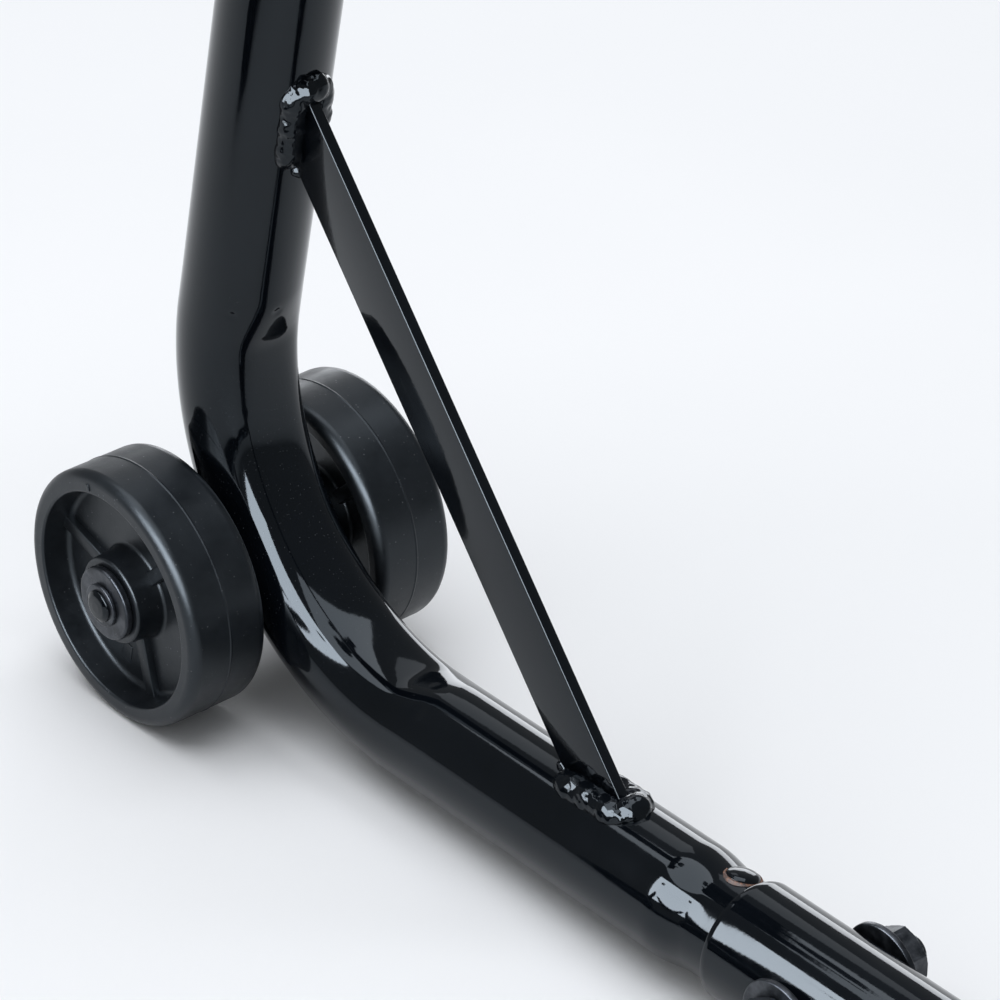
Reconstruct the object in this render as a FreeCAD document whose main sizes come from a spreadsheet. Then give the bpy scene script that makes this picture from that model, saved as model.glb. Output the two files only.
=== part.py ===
import FreeCAD, Part
import math
import os
import re

import Sketcher
from FreeCAD import Placement, Rotation, Vector

# Rear paddock stand for a motorcycle, in millimetres.
# +X is to the right seen from the handle, +Y points away from the handle, +Z is up.
# The origin lies on the floor under the middle of the stand's overall box.

DIMENSIONS = {
    # overall
    "ArmSpacing": 340,          # between the mid-planes of the two arms
    "StandReach": 470,          # axle to the centreline of the handle's crossbar
    "ReceiverHeight": 285,      # floor to the underside of the square receivers
    # arm tubes
    "TubeDia": 35,
    "TubeWall": 2.5,
    "LegDrop": 20.2,            # axle down to the centreline of the level leg
    "BendRadius": 85,
    "BendTurn": 102.6,          # change of direction through the bend, degrees
    "BendSetback": 86.4,        # axle back to the end of the bend on the level leg
    "BendFlat": 1.3,            # depth of the flat pressed on the inside of the bend
    "DieMarkDia": 5,
    "DieMarkDepth": 1.2,        # below the tube's crown line
    "DieMarkBack": 9.5,         # from the end of the bend along the straight
    # level leg and its swaged end
    "JointSetback": 222,        # axle back to the mouth of the handle tube
    "SwageStart": 198,          # axle back to where the leg starts to neck down
    "SwageLength": 15,
    "InsertLength": 62,         # swaged end inside the handle tube
    # brace
    "BraceReach": 133.8,        # inner corner of the arm out to the brace's outer edge
    "BraceWidth": 19.5,
    "BraceThick": 3.6,
    # wheels and axles
    "WheelDia": 81,
    "WheelWidth": 27,
    "TreadFillet": 3.3,
    "RimThick": 6.6,
    "RecessDepth": 9.3,
    "RecessDraft": 0.8,
    "BarrelDia": 27,
    "RibThick": 3.4,
    "RibSet": 2.2,              # ribs stop this far below the wheel's face
    "RibStart": 17,             # angle of the first rib, degrees
    "BossDia": 22,
    "BossLength": 40,
    "BossGap": 0.3,             # weld gap between the boss and its seat in the tube
    "AxleDia": 10,
    "AxleFit": 0.08,            # radial clearance of the wheels on the axle
    "AxleStub": 2.9,            # axle beyond the outer washer
    "InnerWasherDia": 22,
    "InnerWasherThick": 1,
    "OuterWasherDia": 23,
    "OuterWasherThick": 2.4,
    "WheelPlay": 0.2,           # side play at each face of a wheel
    "ClipThick": 1.2,
    "ClipWidth": 2.2,
    "ClipDepth": 0.6,           # depth of the clip's groove in the axle
    # handle
    "HandleDia": 36,
    "HandleWall": 2,
    "HandleBend": 75,
    "SleeveLength": 46,
    "SleeveFit": 0.05,          # radial clearance of the sleeves on the handle
    "SleeveBack": 330,          # axle back to the front end of the floor sleeves
    # through-bolts of the handle joint
    "BoltBack": 32,             # handle's mouth back to the bolt
    "BoltDia": 10,
    "BoltPlay": 0.3,            # radial clearance of the bolt's holes
    "InsertPlay": 0.3,          # radial clearance of the arm's insert in the handle tube
    "ThreadFit": 0.05,          # radial clearance drawn between a thread and its nut
    "HexAcross": 17,
    "HeadHeight": 6.4,
    "NutHeight": 8,
    "BoltStub": 3.5,            # bolt beyond the nut
    "BoltWasherDia": 26,
    "BoltWasherThick": 2,
    # receivers and lift bars
    "ReceiverSize": 30,
    "ReceiverWall": 2.2,
    "ReceiverLength": 64,
    "BarPlay": 0.3,             # clearance on each side of a lift bar
    "BarWall": 2.5,
    "BarLength": 126,
    "BarOverhang": 43,          # bar beyond the receiver's inner end
    "PlugThick": 4,
    "PlugDepth": 14,
    "PlugFit": 0.05,            # clearance on each side of a plug's stem
    # paddles
    "PaddleThick": 4,
    "PaddleWidth": 50,          # along the swingarm
    "PaddleFloor": 38,          # level leaf, across the swingarm
    "PaddleWall": 44,           # standing leaf
    "PaddleCorner": 6,
    "PadThick": 4,
    # clamp screws
    "StudDia": 8,
    "ScrewHolePlay": 0.3,       # radial clearance of the stud in the receiver's wall
    "WeldNutAcross": 13,
    "WeldNutHeight": 6.5,
    "KnobDia": 38,
    "KnobThick": 15,
    "KnobGap": 9,               # weld nut to the knob's hub
    "KnobHubDia": 20,
    "KnobHubLength": 7,
    "KnobLobes": 5,
    "TipGap": 0.3,              # stud's tip off the lift bar in the rest pose
}

DERIVED = {
    "TubeRadius": "TubeDia / 2",
    "BoreRadius": "TubeDia / 2 - TubeWall",
    "WheelRadius": "WheelDia / 2",
    "ArmX": "ArmSpacing / 2",
    "HandleRadius": "HandleDia / 2",
    "SleeveRadius": "WheelRadius - LegDrop",
    "AxleY": "(StandReach + HandleRadius - WheelRadius) / 2",
    "AxleZ": "WheelRadius",
    "LegZ": "AxleZ - LegDrop",
    "Lean": "BendTurn - 90",
    "CornerY": "BendRadius * tan(BendTurn / 2) - BendSetback",
    "BraceAngle": "BendTurn / 2",
    "BraceCorner": "TubeRadius / cos(BraceAngle)",
    "SwageRadius": "HandleRadius - HandleWall - InsertPlay",
    "SwageBore": "SwageRadius - TubeWall",
    "LegEnd": "JointSetback + InsertLength",
    "ReceiverRise": "ReceiverHeight - AxleZ",
    "ReceiverY": "CornerY - (ReceiverRise + LegDrop) * tan(Lean)",
    "ReceiverZ": "ReceiverHeight + ReceiverSize / 2",
    "WheelInner": "BossLength / 2 + InnerWasherThick + WheelPlay",
    "WheelOuter": "WheelInner + WheelWidth",
    "WheelMiddle": "WheelInner + WheelWidth / 2",
    "ClipStart": "WheelOuter + WheelPlay + OuterWasherThick + 0.1",
    "AxleHalf": "ClipStart - 0.1 + AxleStub",
    "BoltY": "JointSetback + BoltBack",
    "WasherFace": "HandleRadius + BoltWasherThick",
    "BarSize": "ReceiverSize - 2 * ReceiverWall - 2 * BarPlay",
    "BarTop": "ReceiverSize / 2 - ReceiverWall - BarPlay",
    "BarInner": "ReceiverLength / 2 + BarOverhang",
    "StudTip": "BarSize / 2 + TipGap",
    "NutFace": "ReceiverSize / 2 + WeldNutHeight",
    "KnobFace": "NutFace + KnobGap",
}

doc = FreeCAD.newDocument("stand")
sheet = doc.addObject("Spreadsheet::Sheet", "Sheet")


def fill_sheet():
    for row, (name, entry) in enumerate(list(DIMENSIONS.items()) + list(DERIVED.items()), start=1):
        text = str(entry) if name in DIMENSIONS else "=" + entry
        sheet.set(f"A{row}", name)
        sheet.set(f"B{row}", text)
        sheet.setAlias(f"B{row}", name)
    doc.recompute()


def linked(expression):
    """The expression with each dimension's name pointed at the sheet."""
    return re.sub(r"\b([A-Z][A-Za-z]+)\b", r"Sheet.\1", expression)


def value(expression):
    return float(sheet.evalExpression(expression))


def place(part, x="0", y="0", z="0", rotation=None):
    if rotation is not None:
        part.Placement = Placement(Vector(), rotation)
    for axis, expression in zip("xyz", (x, y, z)):
        part.setExpression(f".Placement.Base.{axis}", linked(expression))


def new_body(label, x="0", y="0", z="0", rotation=None):
    body = doc.addObject("PartDesign::Body", label)
    body.Label = label
    place(body, x, y, z, rotation)
    return body


def origin_feature(body, role):
    return next(feature for feature in body.Origin.OriginFeatures if feature.Role == role)


def new_sketch(body, name, role, lift="0"):
    sketch = body.newObject("Sketcher::SketchObject", name)
    sketch.AttachmentSupport = [(origin_feature(body, role), "")]
    sketch.MapMode = "FlatFace"
    sketch.setExpression(".AttachmentOffset.Base.z", linked(lift))
    return sketch


def bind(sketch, kind, *arguments):
    """Add one dimension to the sketch and tie it to an expression, the last argument."""
    *where, expression = arguments
    start = math.radians(value(expression)) if kind == "Angle" else value(expression)
    index = sketch.addConstraint(Sketcher.Constraint(kind, *where, start))
    name = f"size_{index}"
    sketch.renameConstraint(index, name)
    sketch.setExpression(f"Constraints.{name}", linked(expression))


def fix_point(sketch, edge, end, x, y):
    bind(sketch, "DistanceX", edge, end, x)
    bind(sketch, "DistanceY", edge, end, y)


def add_circle(sketch, radius, x="0", y="0"):
    centre = Vector(value(x), value(y), 0)
    edge = sketch.addGeometry(Part.Circle(centre, Vector(0, 0, 1), value(radius)))
    fix_point(sketch, edge, 3, x, y)
    bind(sketch, "Radius", edge, radius)
    return edge


def add_outline(sketch, corners):
    """A closed outline of straight edges through corners given as pairs of expressions."""
    points = [Vector(value(x), value(y), 0) for x, y in corners]
    edges = [
        sketch.addGeometry(Part.LineSegment(start, end))
        for start, end in zip(points, points[1:] + points[:1])
    ]
    for edge, following in zip(edges, edges[1:] + edges[:1]):
        sketch.addConstraint(Sketcher.Constraint("Coincident", edge, 2, following, 1))
    for edge, (x, y) in zip(edges, corners):
        fix_point(sketch, edge, 1, x, y)
    return edges


def add_box(sketch, left, bottom, right, top):
    return add_outline(sketch, [(left, bottom), (right, bottom), (right, top), (left, top)])


def add_hexagon(sketch, across):
    corner = f"({across}) / sqrt(3)"
    half = f"({across}) / 2"
    add_outline(sketch, [
        (corner, "0"), (f"{corner} / 2", half), (f"-{corner} / 2", half),
        (f"-{corner}", "0"), (f"-{corner} / 2", f"-{half}"), (f"{corner} / 2", f"-{half}"),
    ])


def feature(body, kind, name, sketch):
    made = body.newObject(f"PartDesign::{kind}", name)
    made.Profile = sketch
    sketch.Visibility = False
    return made


def pad(body, name, sketch, length, side="One side", reverse=False):
    made = feature(body, "Pad", name, sketch)
    made.SideType = side
    made.Reversed = reverse
    made.setExpression("Length", linked(length))
    return made


def pocket(body, name, sketch, length=None, side="One side", reverse=False):
    """A cut of the given length, or through everything when no length is given."""
    made = feature(body, "Pocket", name, sketch)
    made.SideType = side
    made.Reversed = reverse
    if length is None:
        made.Type = "ThroughAll"
    else:
        made.setExpression("Length", linked(length))
    return made


def turned(body, name, sketch, axis="H_Axis", kind="Revolution"):
    made = feature(body, kind, name, sketch)
    made.ReferenceAxis = (sketch, [axis])
    made.Angle = 360
    return made


def pipe(body, kind, name, profile, spine, edges):
    made = feature(body, kind, name, profile)
    made.Spine = (spine, [f"Edge{index + 1}" for index in range(edges)])
    spine.Visibility = False
    return made


def ease(body, kind, name, base, edges, size):
    made = body.newObject(f"PartDesign::{kind}", name)
    made.Base = (base, edges)
    made.setExpression("Radius" if kind == "Fillet" else "Size", linked(size))
    return made


def edges_where(base, test):
    """Names of the edges of a feature whose box and curve pass a test."""
    return [f"Edge{index + 1}" for index, edge in enumerate(base.Shape.Edges) if test(edge)]


def circle_edges(base, radius):
    """Names of the feature's circular edges of one radius."""
    wanted = value(radius)
    return edges_where(base, lambda edge: isinstance(edge.Curve, Part.Circle)
                       and abs(edge.Curve.Radius - wanted) < 0.01)


# ---------------------------------------------------------------- arms

def arm_spine(body, name):
    """Level leg, bend and upright as one line in the arm's mid-plane, axle at the origin."""
    sketch = new_sketch(body, name, "YZ_Plane")
    radius = value("BendRadius")
    turn = math.radians(value("BendTurn"))
    tangent = Vector(-value("BendSetback"), -value("LegDrop"), 0)
    centre = tangent + Vector(0, radius, 0)
    spoke = Vector(0, -radius, 0)
    spoke = Rotation(Vector(0, 0, 1), value("BendTurn")).multVec(spoke)
    along = Rotation(Vector(0, 0, 1), value("BendTurn")).multVec(Vector(1, 0, 0))
    leg_end = Vector(-value("SwageStart"), -value("LegDrop"), 0)
    upright_end = centre + spoke + along * value("ReceiverHeight")
    start = -math.pi / 2
    leg = sketch.addGeometry(Part.LineSegment(leg_end, tangent))
    bend = sketch.addGeometry(
        Part.ArcOfCircle(Part.Circle(centre, Vector(0, 0, 1), radius), start, start + turn))
    upright = sketch.addGeometry(Part.LineSegment(centre + spoke, upright_end))
    fix_point(sketch, leg, 1, "-SwageStart", "-LegDrop")
    fix_point(sketch, leg, 2, "-BendSetback", "-LegDrop")
    sketch.addConstraint(Sketcher.Constraint("Tangent", leg, 2, bend, 1))
    sketch.addConstraint(Sketcher.Constraint("Tangent", bend, 2, upright, 1))
    bind(sketch, "Radius", bend, "BendRadius")
    bind(sketch, "Angle", upright, "BendTurn")
    bind(sketch, "Distance", upright, "ReceiverHeight")
    return sketch


def make_die_marks(body):
    """Shallow round dimples that the bending tool leaves on the inside beyond the bend's ends."""
    reach = "(BendRadius - TubeRadius + DieMarkDepth - DieMarkDia / 2)"
    places = (
        ("LegMark", "-BendSetback - DieMarkBack", f"BendRadius - LegDrop - {reach}"),
        ("UprightMark",
         f"{reach} * sin(BendTurn) + DieMarkBack * cos(BendTurn) - BendSetback",
         f"BendRadius - LegDrop - {reach} * cos(BendTurn) + DieMarkBack * sin(BendTurn)"),
    )
    for name, y, z in places:
        mark = body.newObject("PartDesign::SubtractiveSphere", name)
        mark.setExpression("Radius", linked("DieMarkDia / 2"))
        mark.setExpression(".Placement.Base.y", linked(y))
        mark.setExpression(".Placement.Base.z", linked(z))


def make_arm(suffix, x):
    body = new_body(f"arm_tube_{suffix}", x, "AxleY", "AxleZ")
    outer = new_sketch(body, "TubeSection", "XZ_Plane", "SwageStart")
    add_circle(outer, "TubeRadius", "0", "-LegDrop")
    pipe(body, "AdditivePipe", "Tube", outer, arm_spine(body, "TubePath"), 3)

    # the neck and the insert that goes into the handle tube
    neck = new_sketch(body, "SwageProfile", "YZ_Plane")
    add_outline(neck, [
        ("-SwageStart", "-LegDrop"),
        ("-SwageStart", "TubeRadius - LegDrop"),
        ("-SwageStart - SwageLength", "SwageRadius - LegDrop"),
        ("-LegEnd", "SwageRadius - LegDrop"),
        ("-LegEnd", "-LegDrop"),
    ])
    swage = feature(body, "Revolution", "Swage", neck)
    swage.ReferenceAxis = (neck, ["Edge5"])
    swage.Angle = 360

    # flat pressed on the inside of the bend
    flat = new_sketch(body, "FlatProfile", "YZ_Plane")
    press = "BendRadius - TubeRadius + BendFlat"
    add_circle(flat, press, "-BendSetback", "BendRadius - LegDrop")
    pocket(body, "BendFlatCut", flat, "TubeDia", "Symmetric")

    make_die_marks(body)

    bore = new_sketch(body, "BoreSection", "XZ_Plane", "SwageStart")
    add_circle(bore, "BoreRadius", "0", "-LegDrop")
    pipe(body, "SubtractivePipe", "Bore", bore, arm_spine(body, "BorePath"), 3)
    inside = new_sketch(body, "SwageBoreProfile", "YZ_Plane")
    add_outline(inside, [
        ("-SwageStart + 0.5", "-LegDrop"),
        ("-SwageStart + 0.5", "BoreRadius - LegDrop"),
        ("-SwageStart", "BoreRadius - LegDrop"),
        ("-SwageStart - SwageLength", "SwageBore - LegDrop"),
        ("-LegEnd - 1", "SwageBore - LegDrop"),
        ("-LegEnd - 1", "-LegDrop"),
    ])
    groove = feature(body, "Groove", "SwageBoreCut", inside)
    groove.ReferenceAxis = (inside, ["Edge6"])
    groove.Angle = 360

    # level cut under the receiver
    top = new_sketch(body, "TopProfile", "YZ_Plane")
    add_box(top, "-2 * ReceiverHeight", "ReceiverRise", "ReceiverHeight", "3 * ReceiverHeight")
    pocket(body, "TopCut", top, "2 * TubeDia", "Symmetric")

    # seat of the axle boss in the outside of the bend
    seat = new_sketch(body, "BossSeat", "YZ_Plane")
    add_circle(seat, "BossDia / 2 + BossGap")
    pocket(body, "BossSeatCut", seat, "2 * TubeDia", "Symmetric")

    hole = new_sketch(body, "BoltHole", "YZ_Plane")
    add_circle(hole, "BoltDia / 2 + BoltPlay", "-BoltY", "-LegDrop")
    body.Tip = pocket(body, "BoltHoleCut", hole, "2 * TubeDia", "Symmetric")
    return body


def make_brace(suffix, x):
    """Flat bar across the arm's bend; its own origin is the arm's inner corner."""
    label = f"arm_brace_{suffix}"
    y = "AxleY + CornerY - BraceCorner * sin(BraceAngle)"
    z = "LegZ + BraceCorner * cos(BraceAngle)"
    body = new_body(label, x, y, z)
    sketch = new_sketch(body, "BarProfile", "YZ_Plane")
    corners = []
    for reach, side in (("BraceReach", 1), ("BraceReach", 0),
                        ("(BraceReach - BraceWidth)", 0), ("(BraceReach - BraceWidth)", 1)):
        length = f"{reach} / sin(BraceAngle)"
        if side:
            corners.append((f"-{length}", "0"))
        else:
            corners.append((f"-{length} * sin(Lean)", f"{length} * cos(Lean)"))
    add_outline(sketch, corners)
    body.Tip = pad(body, "Bar", sketch, "BraceThick", "Symmetric")
    return body


# ---------------------------------------------------------------- axles and wheels

def make_boss(suffix, x):
    body = new_body(f"axle_boss_{suffix}", x, "AxleY", "AxleZ")
    sketch = new_sketch(body, "RingProfile", "YZ_Plane")
    add_circle(sketch, "BossDia / 2")
    add_circle(sketch, "AxleDia / 2 + AxleFit")
    body.Tip = pad(body, "Ring", sketch, "BossLength", "Symmetric")
    return body


def make_axle(suffix, x):
    body = new_body(f"axle_rod_{suffix}", x, "AxleY", "AxleZ")
    sketch = new_sketch(body, "RodSection", "YZ_Plane")
    add_circle(sketch, "AxleDia / 2")
    rod = pad(body, "Rod", sketch, "2 * AxleHalf", "Symmetric")
    doc.recompute()
    ends = circle_edges(rod, "AxleDia / 2")
    ease(body, "Chamfer", "RodEnds", rod, ends, "ClipDepth")
    groove = new_sketch(body, "ClipGroove", "XY_Plane")
    for sign in ("", "-"):
        near = f"{sign}(ClipStart - 0.1)"
        far = f"{sign}(ClipStart + ClipThick + 0.1)"
        floor = "AxleDia / 2 - ClipDepth"
        add_box(groove, near, floor, far, "AxleDia")
    body.Tip = turned(body, "ClipGrooveCut", groove, "H_Axis", "Groove")
    return body


def ring_group(label, x, radius, bore, near, far):
    """Two equal rings on the axle, one at each side of the arm, as two separate solids."""
    group = doc.addObject("Part::Feature", label)
    group.Label = label
    rings = []
    for sign in (1, -1):
        start = value(near) if sign == 1 else -value(far)
        length = value(far) - value(near)
        outer = Part.makeCylinder(value(radius), length, Vector(start, 0, 0), Vector(1, 0, 0))
        inner = Part.makeCylinder(value(bore), length, Vector(start, 0, 0), Vector(1, 0, 0))
        rings.append(outer.cut(inner))
    group.Shape = Part.makeCompound(rings)
    place(group, x, "AxleY", "AxleZ")
    return group


def make_wheel(suffix, x):
    """Moulded wheel with a recess, a hub barrel and three ribs on each face."""
    body = new_body(f"wheel_{suffix}", x, "AxleY", "AxleZ")
    half = "WheelWidth / 2"
    rim = "(WheelRadius - RimThick)"
    web = "(WheelWidth / 2 - RecessDepth)"
    profile = new_sketch(body, "WheelProfile", "XY_Plane")
    add_outline(profile, [
        (f"-{half}", "AxleDia / 2 + AxleFit"),
        (f"{half}", "AxleDia / 2 + AxleFit"),
        (f"{half}", "BarrelDia / 2"),
        (f"{web}", "BarrelDia / 2 + RecessDraft"),
        (f"{web}", f"{rim} - RecessDraft"),
        (f"{half}", f"{rim}"),
        (f"{half}", "WheelRadius"),
        (f"-{half}", "WheelRadius"),
        (f"-{half}", f"{rim}"),
        (f"-{web}", f"{rim} - RecessDraft"),
        (f"-{web}", "BarrelDia / 2 + RecessDraft"),
        (f"-{half}", "BarrelDia / 2"),
    ])
    solid = turned(body, "Wheel", profile)
    doc.recompute()
    tread = ease(body, "Fillet", "TreadEdges", solid, circle_edges(solid, "WheelRadius"),
                 "TreadFillet")
    ribs = new_sketch(body, "RibProfile", "YZ_Plane")
    ends = ("BarrelDia / 2", "WheelRadius - RimThick")
    corners = []
    for along, across in ((0, "-1"), (1, "-1"), (1, "1"), (0, "1")):
        aside = f"({across}) * RibThick / 2"
        corners.append((f"({ends[along]}) * cos(RibStart) - {aside} * sin(RibStart)",
                        f"({ends[along]}) * sin(RibStart) + {aside} * cos(RibStart)"))
    add_outline(ribs, corners)
    rib = pad(body, "Rib", ribs, "WheelWidth - 2 * RibSet", "Symmetric")
    pattern = body.newObject("PartDesign::PolarPattern", "Ribs")
    pattern.Originals = [rib]
    pattern.Axis = (origin_feature(body, "X_Axis"), [""])
    pattern.Angle = 360
    pattern.Occurrences = 3
    body.Tip = pattern
    return body


# ---------------------------------------------------------------- handle

def handle_spine(body, name):
    """Two legs, two bends and the crossbar, in the plane of the level legs."""
    sketch = new_sketch(body, name, "XY_Plane")
    half = value("ArmX")
    radius = value("HandleBend")
    mouth = -value("JointSetback")
    turn_y = -value("StandReach") + radius
    right = sketch.addGeometry(
        Part.LineSegment(Vector(half, mouth, 0), Vector(half, turn_y, 0)))
    quarter = math.pi / 2
    circle = Part.Circle(Vector(half - radius, turn_y, 0), Vector(0, 0, 1), radius)
    right_bend = sketch.addGeometry(Part.ArcOfCircle(circle, -quarter, 0))
    cross = sketch.addGeometry(Part.LineSegment(
        Vector(half - radius, turn_y - radius, 0), Vector(radius - half, turn_y - radius, 0)))
    circle = Part.Circle(Vector(radius - half, turn_y, 0), Vector(0, 0, 1), radius)
    left_bend = sketch.addGeometry(Part.ArcOfCircle(circle, -2 * quarter, -quarter))
    left = sketch.addGeometry(
        Part.LineSegment(Vector(-half, turn_y, 0), Vector(-half, mouth, 0)))
    fix_point(sketch, right, 1, "ArmX", "-JointSetback")
    fix_point(sketch, right, 2, "ArmX", "HandleBend - StandReach")
    sketch.addConstraint(Sketcher.Constraint("Tangent", right, 2, right_bend, 2))
    sketch.addConstraint(Sketcher.Constraint("Tangent", right_bend, 1, cross, 1))
    bind(sketch, "Radius", right_bend, "HandleBend")
    sketch.addConstraint(Sketcher.Constraint("Horizontal", cross))
    bind(sketch, "DistanceX", cross, 2, "HandleBend - ArmX")
    sketch.addConstraint(Sketcher.Constraint("Tangent", cross, 2, left_bend, 2))
    sketch.addConstraint(Sketcher.Constraint("Tangent", left_bend, 1, left, 1))
    bind(sketch, "Radius", left_bend, "HandleBend")
    sketch.addConstraint(Sketcher.Constraint("Vertical", left))
    bind(sketch, "DistanceY", left, 2, "-JointSetback")
    return sketch


def make_handle():
    body = new_body("handle_bow", "0", "AxleY", "LegZ")
    for kind, radius in (("Additive", "HandleRadius"), ("Subtractive", "HandleRadius - HandleWall")):
        section = new_sketch(body, f"{kind}Section", "XZ_Plane", "JointSetback")
        add_circle(section, radius, "ArmX", "0")
        spine = handle_spine(body, f"{kind}Path")
        pipe(body, f"{kind}Pipe", f"{kind}Tube", section, spine, 5)
    holes = new_sketch(body, "BoltHoles", "YZ_Plane")
    add_circle(holes, "BoltDia / 2 + BoltPlay", "-BoltY", "0")
    body.Tip = pocket(body, "BoltHoleCut", holes, "2 * ArmSpacing", "Symmetric")
    return body


def make_sleeve(suffix, x):
    body = new_body(f"floor_sleeve_{suffix}", x, "AxleY - SleeveBack", "LegZ")
    sketch = new_sketch(body, "SleeveSection", "XZ_Plane")
    add_circle(sketch, "SleeveRadius")
    add_circle(sketch, "HandleRadius + SleeveFit")
    body.Tip = pad(body, "Sleeve", sketch, "SleeveLength")
    return body


def rod_along_x(body, name, radius, start, end):
    sketch = new_sketch(body, f"{name}Section", "YZ_Plane", start)
    add_circle(sketch, radius)
    return pad(body, name, sketch, f"({end}) - ({start})")


def hexagon_along_x(body, name, across, start, height):
    sketch = new_sketch(body, f"{name}Section", "YZ_Plane", start)
    add_hexagon(sketch, across)
    return pad(body, name, sketch, height)


def round_hex_corners(body, name, across, start, end, outward):
    """Cone cut that rounds the corners of a hexagon at its free end."""
    sketch = new_sketch(body, f"{name}Profile", "XY_Plane")
    slope = "0.55"
    free = end if outward else start
    back = "-" if outward else "+"
    corner = f"({across}) * 0.65"
    face = f"({across}) * 0.475"
    add_outline(sketch, [
        (free, face),
        (free, corner),
        (f"{free} {back} ({corner} - {face}) * {slope}", corner),
    ])
    return turned(body, name, sketch, "H_Axis", "Groove")


def make_joint_bolt(suffix, x, rotation):
    """Hexagon bolt across the joint, its head on the inner side."""
    label = f"joint_bolt_{suffix}"
    body = new_body(label, x, "AxleY - BoltY", "LegZ", rotation)
    head_start = "(-WasherFace - HeadHeight)"
    hexagon_along_x(body, "Head", "HexAcross", head_start, "HeadHeight")
    round_hex_corners(body, "HeadCorners", "HexAcross", head_start, "-WasherFace", False)
    shank = rod_along_x(body, "Shank", "BoltDia / 2", "-WasherFace - 1",
                        "WasherFace + NutHeight + BoltStub")
    doc.recompute()
    tip = edges_where(shank, lambda edge: isinstance(edge.Curve, Part.Circle)
                      and edge.Curve.Center.x > value("WasherFace + NutHeight"))
    body.Tip = ease(body, "Chamfer", "TipEdge", shank, tip, "1")
    return body


def make_joint_nut(suffix, x, rotation):
    body = new_body(f"joint_nut_{suffix}", x, "AxleY - BoltY", "LegZ", rotation)
    hexagon_along_x(body, "Nut", "HexAcross", "WasherFace", "NutHeight")
    round_hex_corners(body, "NutCorners", "HexAcross", "WasherFace", "(WasherFace + NutHeight)",
                      True)
    hole = new_sketch(body, "Thread", "YZ_Plane", "WasherFace")
    add_circle(hole, "BoltDia / 2 + ThreadFit")
    body.Tip = pocket(body, "ThreadCut", hole, None, reverse=True)
    return body


def make_joint_washers(suffix, x):
    label = f"joint_washers_{suffix}"
    group = ring_group(label, x, "BoltWasherDia / 2", "BoltDia / 2 + BoltPlay",
                       "HandleRadius", "WasherFace")
    place(group, x, "AxleY - BoltY", "LegZ")
    return group


# ---------------------------------------------------------------- receivers and lift bars

def make_receiver(suffix, x, rotation):
    """Square tube across the top of the upright, with the clamp screw's hole at its rear."""
    body = new_body(f"bar_receiver_{suffix}", x, "AxleY + ReceiverY", "ReceiverZ", rotation)
    sketch = new_sketch(body, "TubeProfile", "YZ_Plane")
    half = "ReceiverSize / 2"
    add_box(sketch, f"-{half}", f"-{half}", half, half)
    tube = pad(body, "Tube", sketch, "ReceiverLength", "Symmetric")
    doc.recompute()
    long_edges = edges_where(tube, lambda edge: edge.BoundBox.XLength > 1)
    ease(body, "Fillet", "TubeEdges", tube, long_edges, "ReceiverWall")
    inside = new_sketch(body, "BoreProfile", "YZ_Plane")
    bore = "(ReceiverSize / 2 - ReceiverWall)"
    add_box(inside, f"-{bore}", f"-{bore}", bore, bore)
    pocket(body, "Bore", inside, "2 * ReceiverLength", "Symmetric")
    hole = new_sketch(body, "ScrewHole", "XZ_Plane")
    add_circle(hole, "StudDia / 2 + ScrewHolePlay")
    reverse = rotation is None
    body.Tip = pocket(body, "ScrewHoleCut", hole, "ReceiverSize", reverse=reverse)
    return body


def make_weld_nut(suffix, x):
    body = new_body(f"clamp_nut_{suffix}", x, "AxleY + ReceiverY", "ReceiverZ")
    sketch = new_sketch(body, "NutProfile", "XZ_Plane", "ReceiverSize / 2")
    add_hexagon(sketch, "WeldNutAcross")
    add_circle(sketch, "StudDia / 2 + ThreadFit")
    body.Tip = pad(body, "Nut", sketch, "WeldNutHeight")
    return body


def make_stud(suffix, x):
    """Threaded stud from the lift bar's rear face out into the knob."""
    body = new_body(f"clamp_stud_{suffix}", x, "AxleY + ReceiverY", "ReceiverZ")
    sketch = new_sketch(body, "StudSection", "XZ_Plane", "StudTip")
    add_circle(sketch, "StudDia / 2")
    stud = pad(body, "Stud", sketch, "KnobFace + KnobHubLength + KnobThick / 2 - StudTip")
    doc.recompute()
    body.Tip = ease(body, "Chamfer", "StudEnds", stud, ["Edge1", "Edge3"], "0.8")
    return body


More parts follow.
